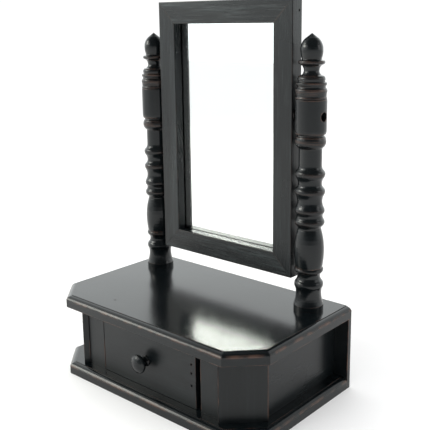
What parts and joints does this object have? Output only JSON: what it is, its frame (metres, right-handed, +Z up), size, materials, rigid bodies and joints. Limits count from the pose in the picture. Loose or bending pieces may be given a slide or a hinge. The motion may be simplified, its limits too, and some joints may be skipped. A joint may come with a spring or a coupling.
{
  "type": "countertop mirror",
  "caption": "Countertop swing mirror in a black wooden frame, tipping between two turned posts that stand on a low moulded chest with a drawer.",
  "frame": {"origin": "middle of the chest's underside, on the table", "axes": "+Z up, the drawer opens towards -Y, +X to the right as seen from the front"},
  "size_m": [0.33, 0.1945, 0.462],
  "materials": {
    "black_paint": "satin black paint rubbed through to red-brown wood at the edges",
    "bare_wood": "unfinished, dull",
    "backing_wood": "dull brown board",
    "silvered_glass": "polished",
    "steel": "dull, slightly darkened"
  },
  "bodies": {
    "chest": {"top_board": "black_paint", "bottom_board": "black_paint", "back_panel": "black_paint", "side_panel_left": "black_paint", "side_panel_right": "black_paint", "corner_panel_left": "black_paint", "corner_panel_right": "black_paint", "stile_left": "black_paint", "stile_right": "black_paint", "drawer_guide_left": "bare_wood", "drawer_guide_right": "bare_wood", "post_left": "black_paint", "post_right": "black_paint"},
    "drawer": {"drawer_front": "black_paint", "drawer_side_left": "bare_wood", "drawer_side_right": "bare_wood", "drawer_back": "bare_wood", "drawer_bottom": "bare_wood", "drawer_brads": "steel", "knob": "black_paint", "knob_screw": "steel"},
    "mirror": {"frame_rail_top": "black_paint", "frame_rail_bottom": "black_paint", "frame_stile_left": "black_paint", "frame_stile_right": "black_paint", "frame_brads": "steel", "mirror_glass": "silvered_glass", "backing_board": "backing_wood", "backing_points": "steel", "pivot_screw_left": "steel", "pivot_screw_right": "steel", "pivot_washer_left": "steel", "pivot_washer_right": "steel"}
  },
  "joints": [
    {"name": "drawer_slide", "type": "slide", "parent": "chest", "child": "drawer", "axis": [0, -1, 0], "range_m": [0, 0.115]},
    {"name": "mirror_tip", "type": "hinge", "parent": "chest", "child": "mirror", "pos_m": [0, 0.063, 0.3325], "axis": [1, 0, 0], "continuous": true}
  ]
}
